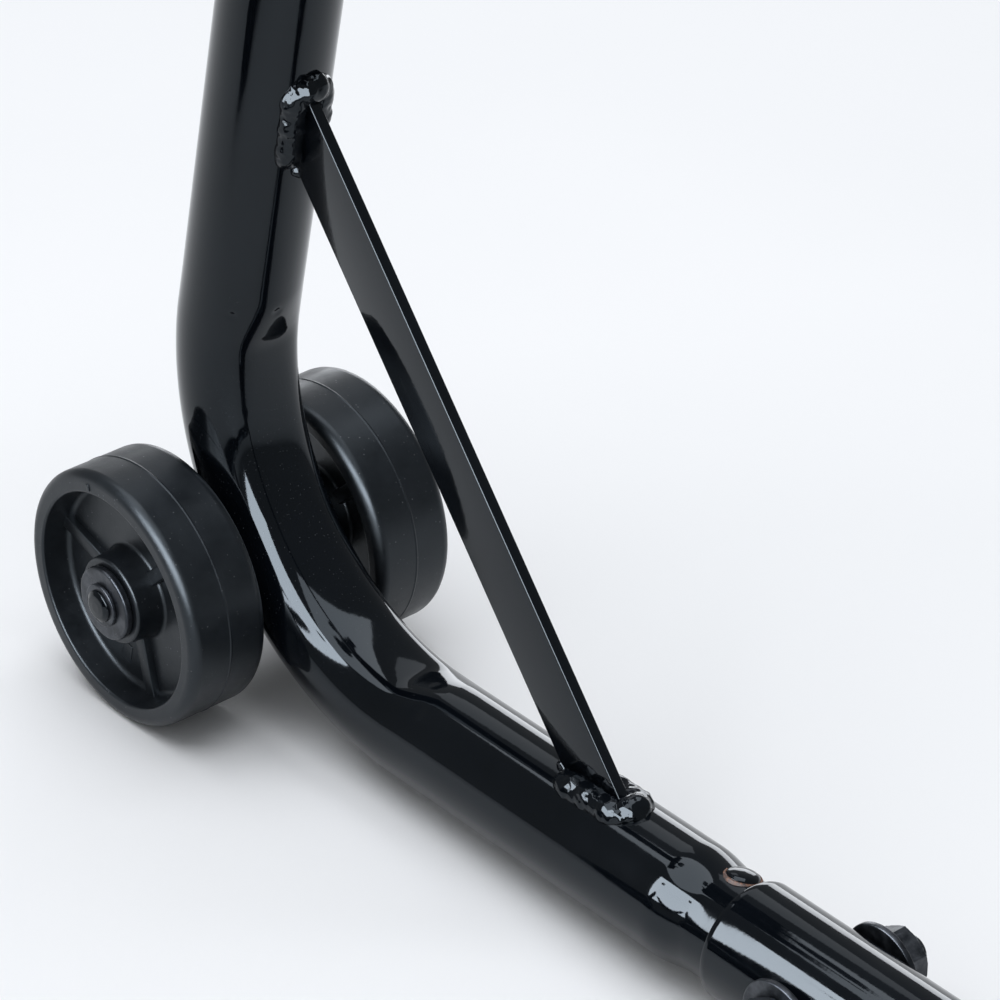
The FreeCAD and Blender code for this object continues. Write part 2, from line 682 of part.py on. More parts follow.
def make_knob(suffix, x):
    """Lobed plastic knob with a hub towards the weld nut, moulded round the stud."""
    body = new_body(f"clamp_knob_{suffix}", x, "AxleY + ReceiverY", "ReceiverZ")
    hub = new_sketch(body, "HubSection", "XZ_Plane", "KnobFace")
    add_circle(hub, "KnobHubDia / 2")
    pad(body, "Hub", hub, "KnobHubLength")
    disc = new_sketch(body, "DiscSection", "XZ_Plane", "KnobFace + KnobHubLength")
    add_circle(disc, "KnobDia / 2")
    head = pad(body, "Disc", disc, "KnobThick")
    scallop = new_sketch(body, "ScallopSection", "XZ_Plane", "KnobFace + KnobHubLength")
    add_circle(scallop, "KnobDia / 6", "0", "KnobDia / 2 + KnobDia / 14")
    cut = pocket(body, "Scallop", scallop, "KnobThick", reverse=True)
    pattern = body.newObject("PartDesign::PolarPattern", "Scallops")
    pattern.Originals = [cut]
    pattern.Axis = (origin_feature(body, "Y_Axis"), [""])
    pattern.Angle = 360
    pattern.setExpression("Occurrences", "Sheet.KnobLobes")
    socket = new_sketch(body, "SocketSection", "XZ_Plane", "KnobFace")
    add_circle(socket, "StudDia / 2 + ThreadFit")
    depth = "KnobHubLength + KnobThick / 2 + ThreadFit"
    cut = pocket(body, "Socket", socket, depth, reverse=True)
    doc.recompute()
    far = value("KnobFace + KnobHubLength + KnobThick")
    rim = edges_where(cut, lambda edge: edge.BoundBox.YLength < 0.01
                      and abs(edge.BoundBox.YMin + far) < 0.01)
    body.Tip = ease(body, "Fillet", "KnobRim", cut, rim, "2")
    return body


def make_lift_bar(suffix, x, rotation):
    """Square tube that slides in the receiver; local -X points to the other arm."""
    body = new_body(f"lift_bar_{suffix}", x, "AxleY + ReceiverY", "ReceiverZ", rotation)
    sketch = new_sketch(body, "BarProfile", "YZ_Plane", "-BarInner")
    half = "BarSize / 2"
    add_box(sketch, f"-{half}", f"-{half}", half, half)
    bar = pad(body, "Bar", sketch, "BarLength")
    doc.recompute()
    long_edges = edges_where(bar, lambda edge: edge.BoundBox.XLength > 1)
    ease(body, "Fillet", "BarEdges", bar, long_edges, "BarWall / 2")
    inside = new_sketch(body, "BoreProfile", "YZ_Plane", "-BarInner")
    bore = "(BarSize / 2 - BarWall)"
    add_box(inside, f"-{bore}", f"-{bore}", bore, bore)
    body.Tip = pocket(body, "Bore", inside, None, reverse=True)
    return body


def make_bar_plugs(suffix, x, rotation):
    """The two plastic plugs that close the ends of a lift bar, as two separate solids."""
    plugs = doc.addObject("Part::Feature", f"bar_plugs_{suffix}")
    plugs.Label = f"bar_plugs_{suffix}"
    size = value("BarSize")
    neck = value("BarSize - 2 * BarWall - 2 * PlugFit")
    thick = value("PlugThick")
    depth = value("PlugDepth")
    solids = []
    for end, sign in ((-value("BarInner"), -1), (value("BarLength - BarInner"), 1)):
        cap_start = end if sign == 1 else end - thick
        neck_start = end - depth if sign == 1 else end
        cap = Part.makeBox(thick, size, size, Vector(cap_start, -size / 2, -size / 2))
        face = end + sign * thick
        rim = [edge for edge in cap.Edges if edge.BoundBox.XLength < 0.01
               and abs(edge.BoundBox.XMin - face) < 0.01]
        cap = cap.makeFillet(1.2, rim)
        stem = Part.makeBox(depth, neck, neck, Vector(neck_start, -neck / 2, -neck / 2))
        solids.append(cap.fuse(stem).removeSplitter())
    plugs.Shape = Part.makeCompound(solids)
    place(plugs, x, "AxleY + ReceiverY", "ReceiverZ", rotation)
    return plugs


def leaf_corners(plate):
    """Edges at the free corners of a paddle's level and standing leaves."""
    reach = value("-BarInner")
    rise = value("BarTop + PaddleWall")

    def is_corner(edge):
        box = edge.BoundBox
        level_end = abs(box.XMin - reach) < 0.01 and box.ZLength > 1 and box.YLength < 0.01
        standing_end = abs(box.ZMax - rise) < 0.01 and box.XLength > 1 and box.YLength < 0.01
        return level_end or standing_end

    return edges_where(plate, is_corner)


def make_paddle(suffix, x, rotation):
    """Angle plate on the bar's inner end: a level leaf to lift on and a standing leaf."""
    body = new_body(f"paddle_{suffix}", x, "AxleY + ReceiverY", "ReceiverZ", rotation)
    sketch = new_sketch(body, "AngleProfile", "XZ_Plane")
    inner = "-BarInner"
    outer = "(-BarInner + PaddleFloor)"
    top = "(BarTop + PaddleThick)"
    add_outline(sketch, [
        (inner, "BarTop"), (outer, "BarTop"), (outer, "BarTop + PaddleWall"),
        (f"{outer} - PaddleThick", "BarTop + PaddleWall"), (f"{outer} - PaddleThick", top),
        (inner, top),
    ])
    angle = pad(body, "Angle", sketch, "PaddleWidth", "Symmetric")
    doc.recompute()
    corners = leaf_corners(angle)
    body.Tip = ease(body, "Fillet", "LeafCorners", angle, corners, "PaddleCorner")
    return body


def make_paddle_pad(suffix, x, rotation):
    """Rubber lining on the level and the standing leaf of a paddle."""
    body = new_body(f"paddle_pad_{suffix}", x, "AxleY + ReceiverY", "ReceiverZ", rotation)
    sketch = new_sketch(body, "PadProfile", "XZ_Plane")
    inner = "-BarInner"
    wall = "(-BarInner + PaddleFloor - PaddleThick)"
    floor = "(BarTop + PaddleThick)"
    add_outline(sketch, [
        (inner, floor), (wall, floor), (wall, "BarTop + PaddleWall"),
        (f"{wall} - PadThick", "BarTop + PaddleWall"),
        (f"{wall} - PadThick", f"{floor} + PadThick"), (inner, f"{floor} + PadThick"),
    ])
    lining = pad(body, "Lining", sketch, "PaddleWidth", "Symmetric")
    doc.recompute()
    corners = leaf_corners(lining)
    body.Tip = ease(body, "Fillet", "PadCorners", lining, corners, "PaddleCorner")
    return body


def build_side(suffix, x, rotation):
    wheel_offsets = (("outer", "WheelMiddle"), ("inner", "-WheelMiddle"))
    outward = "+" if suffix == "r" else "-"
    nodes = [
        make_arm(suffix, x), make_brace(suffix, x), make_boss(suffix, x), make_axle(suffix, x),
        ring_group(f"inner_washers_{suffix}", x, "InnerWasherDia / 2", "AxleDia / 2 + AxleFit",
                   "BossLength / 2", "BossLength / 2 + InnerWasherThick"),
        ring_group(f"outer_washers_{suffix}", x, "OuterWasherDia / 2", "AxleDia / 2 + AxleFit",
                   "WheelOuter + WheelPlay", "ClipStart - 0.1"),
        ring_group(f"axle_clips_{suffix}", x, "AxleDia / 2 - ClipDepth + AxleFit + ClipWidth",
                   "AxleDia / 2 - ClipDepth + AxleFit", "ClipStart", "ClipStart + ClipThick"),
    ]
    for name, offset in wheel_offsets:
        nodes.append(make_wheel(f"{suffix}_{name}", f"{x} {outward} ({offset})"))
    nodes += [
        make_sleeve(suffix, x), make_joint_bolt(suffix, x, rotation),
        make_joint_nut(suffix, x, rotation), make_joint_washers(suffix, x),
        make_receiver(suffix, x, rotation), make_weld_nut(suffix, x), make_stud(suffix, x),
        make_knob(suffix, x), make_lift_bar(suffix, x, rotation),
        make_bar_plugs(suffix, x, rotation), make_paddle(suffix, x, rotation),
        make_paddle_pad(suffix, x, rotation),
    ]
    return nodes


def check(nodes):
    for part in doc.Objects:
        if "Invalid" in part.State or "Error" in part.State:
            raise RuntimeError(f"{part.Name} is {part.State}")
    for node in nodes:
        if node.Shape.isNull() or not node.Shape.isValid() or not node.Shape.Solids:
            raise RuntimeError(f"{node.Label} has no valid solid")


def main():
    fill_sheet()
    half_turn = Rotation(Vector(0, 0, 1), 180)
    nodes = [make_handle()]
    nodes += build_side("r", "ArmX", None)
    nodes += build_side("l", "-ArmX", half_turn)
    doc.recompute()
    check(nodes)
    os.makedirs("parts", exist_ok=True)
    for node in nodes:
        node.Shape.exportStep(f"parts/{node.Label}.step")
    print(len(nodes), "nodes written")


main()
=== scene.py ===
import math
import random

import bmesh
import bpy
from mathutils import Matrix, Vector


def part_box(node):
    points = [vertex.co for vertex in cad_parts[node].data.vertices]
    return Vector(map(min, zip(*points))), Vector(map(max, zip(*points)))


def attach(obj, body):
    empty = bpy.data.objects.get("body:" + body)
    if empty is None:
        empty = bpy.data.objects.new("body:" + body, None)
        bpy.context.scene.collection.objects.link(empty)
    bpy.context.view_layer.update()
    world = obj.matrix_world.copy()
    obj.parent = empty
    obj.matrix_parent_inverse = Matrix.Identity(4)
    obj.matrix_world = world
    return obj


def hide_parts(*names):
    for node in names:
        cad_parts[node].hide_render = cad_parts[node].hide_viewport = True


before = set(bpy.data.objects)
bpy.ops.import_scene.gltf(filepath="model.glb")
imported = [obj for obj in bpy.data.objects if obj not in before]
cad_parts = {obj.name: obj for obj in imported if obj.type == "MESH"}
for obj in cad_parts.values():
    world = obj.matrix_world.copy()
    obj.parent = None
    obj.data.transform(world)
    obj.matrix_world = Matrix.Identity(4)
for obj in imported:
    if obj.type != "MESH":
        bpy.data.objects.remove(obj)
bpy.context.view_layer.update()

# Looks of the rear paddock stand. Lengths are in metres; MM turns millimetres into metres.
MM = 0.001
RNG = random.Random(7)

SIDES = {"r": 1, "l": -1}


def centre_of(node):
    low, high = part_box(node)
    return (low + high) / 2


AXLE = {side: centre_of(f"axle_boss_{side}") for side in SIDES}
JOINT_BOLT = {side: centre_of(f"joint_washers_{side}") for side in SIDES}
RECEIVER = {side: centre_of(f"bar_receiver_{side}") for side in SIDES}
LEG_DROP = 20.2 * MM
TUBE_R = 17.5 * MM
INSERT_R = 15.7 * MM
HANDLE_R = 18 * MM
HANDLE_WALL = 2 * MM
BEND_R = 85 * MM
BEND_TURN = math.radians(102.6)
BEND_SETBACK = 86.4 * MM
MOUTH_SETBACK = 222 * MM
SWAGE_START = 198 * MM
SWAGE_LENGTH = 15 * MM
INSERT_LENGTH = 62 * MM
BOSS_R = 11 * MM
# Bluish tint painted into the reflections of the coat and the plastics: it stands in for cool
# studio light.
PAINTED_COOL_REFLECTION = (0.80, 0.91, 1.0)
# Outlines in millimetres: corners straighter than STRAIGHT stay sharp, an arc takes at most
# SIDE_SHARE of a side, and a run over LONG_RUN gets points HOLD from its ends to shade it flat.
STRAIGHT = math.radians(178)
SIDE_SHARE = 0.49
LONG_RUN = 1.0
HOLD = 0.22


# ---------------------------------------------------------------- small helpers

def smooth(low, high, x):
    t = min(max((x - low) / (high - low), 0.0), 1.0)
    return t * t * (3 - 2 * t)


def soft_min(a, b, blend):
    h = max(blend - abs(a - b), 0.0) / blend
    return min(a, b) - h * h * blend / 4


def link(mesh, name):
    piece = bpy.data.objects.new(name, mesh)
    bpy.context.scene.collection.objects.link(piece)
    return piece


def shade(piece, material, angle=None):
    piece.data.materials.clear()
    piece.data.materials.append(material)
    for polygon in piece.data.polygons:
        polygon.use_smooth = True
    if angle is not None:
        piece.data.set_sharp_from_angle(angle=math.radians(angle))


def skin(name, rings):
    """Mesh through equal closed rings of points."""
    count = len(rings[0])
    points = [point for ring in rings for point in ring]
    faces = []
    for row in range(len(rings) - 1):
        below = row * count
        above = below + count
        for k in range(count):
            following = (k + 1) % count
            faces.append((below + k, below + following, above + following, above + k))
    mesh = bpy.data.meshes.new(name)
    mesh.from_pydata([tuple(point) for point in points], [], faces)
    mesh.update()
    return mesh


def cap_rings(mesh, count):
    """Close the open ends of a skin whose rings have count points."""
    maker = bmesh.new()
    maker.from_mesh(mesh)
    maker.verts.ensure_lookup_table()
    size = len(maker.verts)
    maker.faces.new([maker.verts[k] for k in range(count)])
    maker.faces.new([maker.verts[size - 1 - k] for k in range(count)])
    bmesh.ops.recalc_face_normals(maker, faces=maker.faces)
    maker.to_mesh(mesh)
    maker.free()


def fix_normals(mesh):
    maker = bmesh.new()
    maker.from_mesh(mesh)
    bmesh.ops.recalc_face_normals(maker, faces=maker.faces)
    maker.to_mesh(mesh)
    maker.free()


def rounded(points, steps=6):
    """Round the corners of an open outline in millimetres; each point is (x, y, radius)."""
    path = [Vector((points[0][0], points[0][1]))]
    for before, here, after in zip(points, points[1:], points[2:]):
        corner = Vector((here[0], here[1]))
        towards = Vector((before[0], before[1])) - corner
        onward = Vector((after[0], after[1])) - corner
        angle = towards.angle(onward)
        if here[2] <= 0 or angle > STRAIGHT:
            path.append(corner)
            continue
        side = min(towards.length, onward.length)
        reach = min(here[2] / math.tan(angle / 2), side * SIDE_SHARE)
        radius = reach * math.tan(angle / 2)
        start = corner + towards.normalized() * reach
        end = corner + onward.normalized() * reach
        middle = (towards.normalized() + onward.normalized()).normalized()
        hub = corner + middle * (radius / math.sin(angle / 2))
        first = (start - hub).normalized()
        second = (end - hub).normalized()
        sweep = first.angle(second)
        for step in range(steps + 1):
            part = step / steps
            weight_a = math.sin((1 - part) * sweep) / math.sin(sweep)
            weight_b = math.sin(part * sweep) / math.sin(sweep)
            path.append(hub + (first * weight_a + second * weight_b) * radius)
    path.append(Vector((points[-1][0], points[-1][1])))
    held = [path[0]]
    for before, here in zip(path, path[1:]):
        run = (here - before).length
        if run > LONG_RUN:
            held += [before.lerp(here, HOLD / run), before.lerp(here, 1 - HOLD / run)]
        held.append(here)
    return held


def turned(name, centre, outline, segments, shape=None):
    """Revolve an outline of (x, radius) round the X axis; shape may change each radius."""
    rings = []
    for x, radius in outline:
        ring = []
        for k in range(segments):
            angle = 2 * math.pi * k / segments
            r = radius if shape is None else shape(x, angle, radius)
            ring.append(centre + Vector((x, r * math.cos(angle), r * math.sin(angle))))
        rings.append(ring)
    return skin(name, rings)


def join_meshes(name, meshes):
    maker = bmesh.new()
    for mesh in meshes:
        maker.from_mesh(mesh)
    joined = bpy.data.meshes.new(name)
    maker.to_mesh(joined)
    maker.free()
    for mesh in meshes:
        bpy.data.meshes.remove(mesh)
    return joined


def rounded_box(size, radius):
    """Mesh of a box round the origin with rounded edges."""
    maker = bmesh.new()
    bmesh.ops.create_cube(maker, size=1)
    for vertex in maker.verts:
        vertex.co = Vector((vertex.co.x * size[0], vertex.co.y * size[1], vertex.co.z * size[2]))
    bmesh.ops.bevel(maker, geom=maker.edges[:], offset=radius, segments=3,
                    profile=0.5, affect="EDGES")
    mesh = bpy.data.meshes.new("box")
    maker.to_mesh(mesh)
    maker.free()
    return mesh


def finish_piece(mesh, name, node, body, material, angle=35):
    """Put a mesh in the scene as a piece; node is the CAD node it stands for, if any."""
    fix_normals(mesh)
    piece = link(mesh, name)
    shade(piece, material, angle)
    if node:
        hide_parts(node)
    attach(piece, body)
    return piece


# ---------------------------------------------------------------- materials

class Nodes:
    """Short notation for building one node material."""

    def __init__(self, name):
        self.material = bpy.data.materials.new(name)
        self.material.use_nodes = True
        self.tree = self.material.node_tree
        self.shader = self.tree.nodes["Principled BSDF"]
        self.place = self.tree.nodes.new("ShaderNodeTexCoord").outputs["Object"]

    def link(self, source, target):
        self.tree.links.new(source, target)

    def noise(self, scale, detail, roughness=0.5):
        node = self.tree.nodes.new("ShaderNodeTexNoise")
        node.inputs["Scale"].default_value = scale
        node.inputs["Detail"].default_value = detail
        node.inputs["Roughness"].default_value = roughness
        self.link(self.place, node.inputs["Vector"])
        return node.outputs["Fac"]

    def cells(self, scale):
        node = self.tree.nodes.new("ShaderNodeTexVoronoi")
        node.inputs["Scale"].default_value = scale
        self.link(self.place, node.inputs["Vector"])
        return node

    def ramp(self, source, stops):
        node = self.tree.nodes.new("ShaderNodeValToRGB")
        ramp = node.color_ramp
        while len(ramp.elements) < len(stops):
            ramp.elements.new(0.5)
        for element, (position, colour) in zip(ramp.elements, stops):
            element.position = position
            element.color = (*colour, 1.0)
        self.link(source, node.inputs["Fac"])
        return node.outputs["Color"]

    def spread(self, source, low, high, new_low, new_high):
        node = self.tree.nodes.new("ShaderNodeMapRange")
        node.inputs["From Min"].default_value = low
        node.inputs["From Max"].default_value = high
        node.inputs["To Min"].default_value = new_low
        node.inputs["To Max"].default_value = new_high
        self.link(source, node.inputs["Value"])
        return node.outputs["Result"]

    def maths(self, operation, first, second):
        node = self.tree.nodes.new("ShaderNodeMath")
        node.operation = operation
        for socket, entry in zip(node.inputs, (first, second)):
            if isinstance(entry, (int, float)):
                socket.default_value = entry
            else:
                self.link(entry, socket)
        return node.outputs[0]

    def mix(self, factor, first, second):
        node = self.tree.nodes.new("ShaderNodeMix")
        node.data_type = "RGBA"
        self.link(factor, node.inputs["Factor"])
        for socket, entry in ((node.inputs[6], first), (node.inputs[7], second)):
            if isinstance(entry, tuple):
                socket.default_value = (*entry, 1.0)
            else:
                self.link(entry, socket)
        return node.outputs[2]

    def distance(self, point):
        node = self.tree.nodes.new("ShaderNodeVectorMath")
        node.operation = "DISTANCE"
        node.inputs[1].default_value = point
        self.link(self.place, node.inputs[0])
        return node.outputs["Value"]

    def bump(self, height, distance, strength=1.0, below=None):
        node = self.tree.nodes.new("ShaderNodeBump")
        node.inputs["Strength"].default_value = strength
        node.inputs["Distance"].default_value = distance
        self.link(height, node.inputs["Height"])
        if below is not None:
            self.link(below, node.inputs["Normal"])
        return node.outputs["Normal"]

    def set(self, **inputs):
        names = {"colour": "Base Color", "roughness": "Roughness", "metallic": "Metallic",
                 "normal": "Normal", "ior": "IOR", "tint": "Specular Tint"}
        for key, entry in inputs.items():
            socket = self.shader.inputs[names[key]]
            if isinstance(entry, (int, float)):
                socket.default_value = entry
            elif isinstance(entry, tuple):
                socket.default_value = (*entry, 1.0)
            else:
                self.link(entry, socket)
        return self.material


def black_coat(name, dusty_at=(), dust_reach=0.07):
    """Gloss black powder coat: deep black, faint orange peel, fine dust where given."""
    made = Nodes(name)
    cloud = made.noise(38, 4)
    grain = made.noise(900, 2)
    base = made.mix(made.spread(cloud, 0.3, 0.7, 0.0, 1.0), (0.0018, 0.0027, 0.0042),
                    (0.0034, 0.0047, 0.0070))
    rough = made.spread(made.noise(75, 5, 0.6), 0.35, 0.7, 0.045, 0.085)
    specks = made.cells(620)
    speck_size = made.spread(specks.outputs["Distance"], 0.0, 0.16, 1.0, 0.0)
    chance = made.spread(specks.outputs["Color"], 0.93, 0.95, 0.0, 1.0)
    sparse = made.maths("MULTIPLY", speck_size, chance)
    dust = made.maths("MULTIPLY", sparse, 0.35)
    for point in dusty_at:
        near = made.spread(made.distance(point), dust_reach * 0.35, dust_reach, 1.0, 0.0)
        fine = made.cells(1500)
        fleck = made.spread(fine.outputs["Distance"], 0.05, 0.30, 1.0, 0.0)
        often = made.spread(fine.outputs["Color"], 0.74, 0.80, 0.0, 1.0)
        patch = made.maths("MULTIPLY", made.maths("MULTIPLY", fleck, often), near)
        dust = made.maths("MAXIMUM", dust, made.maths("MULTIPLY", patch, 0.4))
    colour = made.mix(dust, base, (0.17, 0.18, 0.19))
    roughness = made.maths("ADD", rough, made.maths("MULTIPLY", dust, 0.5))
    peel = made.bump(made.noise(210, 2), 0.00005, 0.3)
    peel = made.bump(grain, 0.00001, 0.3, peel)
    # The specular tint paints a cool cast of the light into the coat's reflections.
    return made.set(colour=colour, roughness=roughness, normal=peel, ior=1.37,
                    tint=PAINTED_COOL_REFLECTION)


def moulded_plastic(name, dark, light, rough, dust_share=0.5):
    """Satin moulded plastic with a fine grain, handling haze and dust specks."""
    made = Nodes(name)
    cloud = made.noise(55, 5, 0.62)
    base = made.mix(made.spread(cloud, 0.3, 0.72, 0.0, 1.0), dark, light)
    specks = made.cells(900)
    size = made.spread(specks.outputs["Distance"], 0.04, 0.26, 1.0, 0.0)
    chance = made.spread(specks.outputs["Color"], 0.76, 0.84, 0.0, 1.0)
    patches = made.spread(made.noise(60, 4, 0.65), 0.40, 0.60, 0.15, 1.0)
    dust = made.maths("MULTIPLY", made.maths("MULTIPLY", size, chance), patches)
    colour = made.mix(made.maths("MULTIPLY", dust, dust_share), base, (0.20, 0.21, 0.22))
    haze = made.spread(made.noise(120, 5, 0.7), 0.3, 0.75, rough - 0.06, rough + 0.09)
    grain = made.bump(made.noise(1900, 3, 0.6), 0.00004, 0.5)
    # The specular tint paints a cool cast of the light into the plastic's reflections.
    return made.set(colour=colour, roughness=haze, normal=grain, ior=1.42,
                    tint=PAINTED_COOL_REFLECTION)


def blackened_steel(name):
    """Black-zinc fasteners: dark metal, slightly worn and cloudy."""
    made = Nodes(name)
    wear = made.spread(made.noise(170, 6, 0.65), 0.42, 0.70, 0.0, 1.0)
    colour = made.mix(wear, (0.019, 0.023, 0.029), (0.075, 0.082, 0.094))
    rough = made.spread(made.noise(420, 4), 0.3, 0.7, 0.26, 0.44)
    grain = made.bump(made.noise(2600, 3), 0.00002, 0.5)
    return made.set(colour=colour, roughness=rough, metallic=0.75, normal=grain)


def soft_rubber(name):
    """Dull black rubber."""
    made = Nodes(name)
    base = made.mix(made.spread(made.noise(90, 5), 0.3, 0.7, 0.0, 1.0), (0.0065, 0.0075, 0.0090),
                    (0.0125, 0.0138, 0.0155))
    rough = made.spread(made.noise(300, 4), 0.3, 0.7, 0.55, 0.72)
    grain = made.bump(made.noise(1400, 4, 0.7), 0.0001, 0.6)
    return made.set(colour=base, roughness=rough, normal=grain)


def rusty_ring(name):
    """Rust bloom: orange-brown, blotchy and dull."""
    made = Nodes(name)
    blotch = made.noise(900, 5, 0.7)
    colour = made.ramp(blotch, [(0.34, (0.012, 0.009, 0.009)), (0.50, (0.075, 0.028, 0.014)),
                                (0.66, (0.22, 0.085, 0.035))])
    grain = made.bump(made.noise(2500, 4, 0.7), 0.00008, 0.8)
    rough = made.spread(blotch, 0.3, 0.7, 0.5, 0.8)
    return made.set(colour=colour, roughness=rough, normal=grain)


def shop_floor(name):
    """Pale studio ground with a barely visible tone variation."""
    made = Nodes(name)
    tone = made.mix(made.spread(made.noise(2.5, 4), 0.3, 0.7, 0.0, 1.0), (0.86, 0.865, 0.87),
                    (0.89, 0.892, 0.895))
    grain = made.bump(made.noise(700, 3), 0.00004, 0.2)
    return made.set(colour=tone, roughness=made.spread(made.noise(9, 3), 0.3, 0.7, 0.85, 0.95),
                    normal=grain)


BEND_SPOTS = [tuple(AXLE[side] + Vector((0, -0.012, 0.012))) for side in SIDES]
COAT = black_coat("black_coat")
ARM_COAT = black_coat("arm_coat", BEND_SPOTS)
WHEEL = moulded_plastic("wheel_plastic", (0.0036, 0.0048, 0.0068), (0.0068, 0.0086, 0.0116),
                        0.36, 0.8)
KNOB = moulded_plastic("knob_plastic", (0.010, 0.010, 0.011), (0.018, 0.018, 0.020), 0.30, 0.15)
PLUG = moulded_plastic("plug_plastic", (0.012, 0.012, 0.013), (0.020, 0.020, 0.021), 0.48, 0.2)
STEEL = blackened_steel("black_steel")
RUBBER = soft_rubber("soft_rubber")
RUST = rusty_ring("rust")
FLOOR = shop_floor("ground")


# ---------------------------------------------------------------- arm tubes

class ArmLine:
    """Centreline of one arm: s runs from the leg's end, zero where the bend begins."""

    def __init__(self, side):
        self.origin = AXLE[side]
        self.bend_start = self.origin + Vector((0, -BEND_SETBACK, -LEG_DROP))
        self.bend_length = BEND_R * BEND_TURN
        self.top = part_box(f"bar_receiver_{side}")[0].z

    def at(self, s):
        """Point, direction and inward direction at s."""
        if s <= 0:
            return self.bend_start + Vector((0, s, 0)), Vector((0, 1, 0)), Vector((0, 0, 1))
        turn = min(s, self.bend_length) / BEND_R
        tangent = Vector((0, math.cos(turn), math.sin(turn)))
        inward = Vector((0, -math.sin(turn), math.cos(turn)))
        hub = self.bend_start + Vector((0, 0, BEND_R))
        point = hub - inward * BEND_R
        if s > self.bend_length:
            point = point + tangent * (s - self.bend_length)
        return point, tangent, inward

    def end(self):
        """Where the centreline reaches the receiver's underside."""
        point, tangent, _ = self.at(self.bend_length)
        return self.bend_length + (self.top - point.z) / tangent.z

    def top_edge(self, angle):
        """Point of the tube's skin at the receiver's underside, at an angle round the tube."""
        point, tangent, inward = self.at(self.end())
        edge = point + Vector((TUBE_R * math.sin(angle), 0, 0)) + inward * TUBE_R * math.cos(angle)
        return edge + tangent * ((self.top - edge.z) / tangent.z)


def tube_radius(s):
    """Outer radius at s; the leg's end is crimped down to the insert."""
    leg = BEND_SETBACK - s
    if leg <= SWAGE_START:
        return TUBE_R
    return INSERT_R + (TUBE_R - INSERT_R) * smooth(SWAGE_START + SWAGE_LENGTH, SWAGE_START, leg)


def press_amount(s, length):
    """How strongly the bending die has flattened the inside at s."""
    return smooth(-14 * MM, 7 * MM, s) * (1 - smooth(length - 8 * MM, length + 14 * MM, s))


# How far the die flattens the inside and the outside of the bend, how softly the flat runs out,
# and the share by which the sides bulge.
INSIDE_FLAT = (2.3 * MM, 4.2 * MM)
OUTSIDE_FLAT = (0.9 * MM, 2.5 * MM)
SIDE_BULGE = 0.012
# Marks of the die: the end of the bend they are near, distance along the arm from that end (mm),
# angle round the tube, radius and depth (mm).
DIE_MARKS = (("start", -9.0, 38.0, 2.3, 0.30), ("start", -5.5, 3.0, 1.6, 0.16),
             ("end", 9.5, 2.0, 1.5, 0.20), ("end", 9.0, 47.0, 1.5, 0.26))
MARK_REACH = 4 * MM
ARM_POINTS = 224
TOP_GAP = 12 * MM
FINE_STEP = 0.5 * MM
MIDDLE_STEP = 1.2 * MM
LONG_STEP = 6 * MM


def tube_section(line, s):
    """Ring of points round the arm at s, pressed in where the tube is bent."""
    point, _, inward = line.at(s)
    radius = tube_radius(s)
    press = press_amount(s, line.bend_length)
    ring = []
    for k in range(ARM_POINTS):
        angle = 2 * math.pi * k / ARM_POINTS
        sideways = radius * math.sin(angle) * (1 + SIDE_BULGE * press)
        inner = radius * math.cos(angle)
        flat = soft_min(inner, radius - INSIDE_FLAT[0], INSIDE_FLAT[1])
        crowned = -soft_min(-inner, radius - OUTSIDE_FLAT[0], OUTSIDE_FLAT[1])
        inner = inner + press * ((flat - inner) + (crowned - inner))
        ring.append(point + Vector((1, 0, 0)) * sideways + inward * inner)
    press_marks(line, s, point, radius, ring)
    return ring


def press_marks(line, s, point, radius, ring):
    """Push the die marks near s into a ring round point."""
    for place, along, around, size, depth in DIE_MARKS:
        mark_s = along * MM + (line.bend_length if place == "end" else 0.0)
        if abs(s - mark_s) > MARK_REACH:
            continue
        towards = -math.radians(around)
        for k, spot in enumerate(ring):
            angle = 2 * math.pi * k / len(ring)
            aside = (angle - towards + math.pi) % (2 * math.pi) - math.pi
            away = math.hypot(s - mark_s, aside * radius)
            dent = depth * MM * math.exp(-((away / (size * MM)) ** 3))
            ring[k] = spot - (spot - point).normalized() * dent


def arm_steps(line):
    """Stations along the arm, close together where the tube changes shape."""
    stations = []
    s = BEND_SETBACK - MOUTH_SETBACK - INSERT_LENGTH
    while s < line.end() - TOP_GAP:
        stations.append(s)
        leg = BEND_SETBACK - s
        die_edge = -16 * MM < s < 8 * MM or abs(s - line.bend_length - 3 * MM) < 13 * MM
        neck = SWAGE_START - 4 * MM < leg < SWAGE_START + SWAGE_LENGTH + 4 * MM
        if die_edge:
            s += FINE_STEP
        elif neck or 0 < s < line.bend_length:
            s += MIDDLE_STEP
        else:
            s += LONG_STEP
    return stations


def build_arm(side):
    """Bent tube from the insert in the handle up to the receiver."""
    line = ArmLine(side)
    rings = [tube_section(line, s) for s in arm_steps(line)]
    rings.append([line.top_edge(2 * math.pi * k / ARM_POINTS) for k in range(ARM_POINTS)])
    mesh = skin(f"arm_{side}_skin", rings)
    cap_rings(mesh, ARM_POINTS)
    piece = link(mesh, f"arm_{side}_skin")
    shade(piece, ARM_COAT, 40)
    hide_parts(f"arm_tube_{side}")
    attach(piece, "frame")
    return line


# ---------------------------------------------------------------- handle

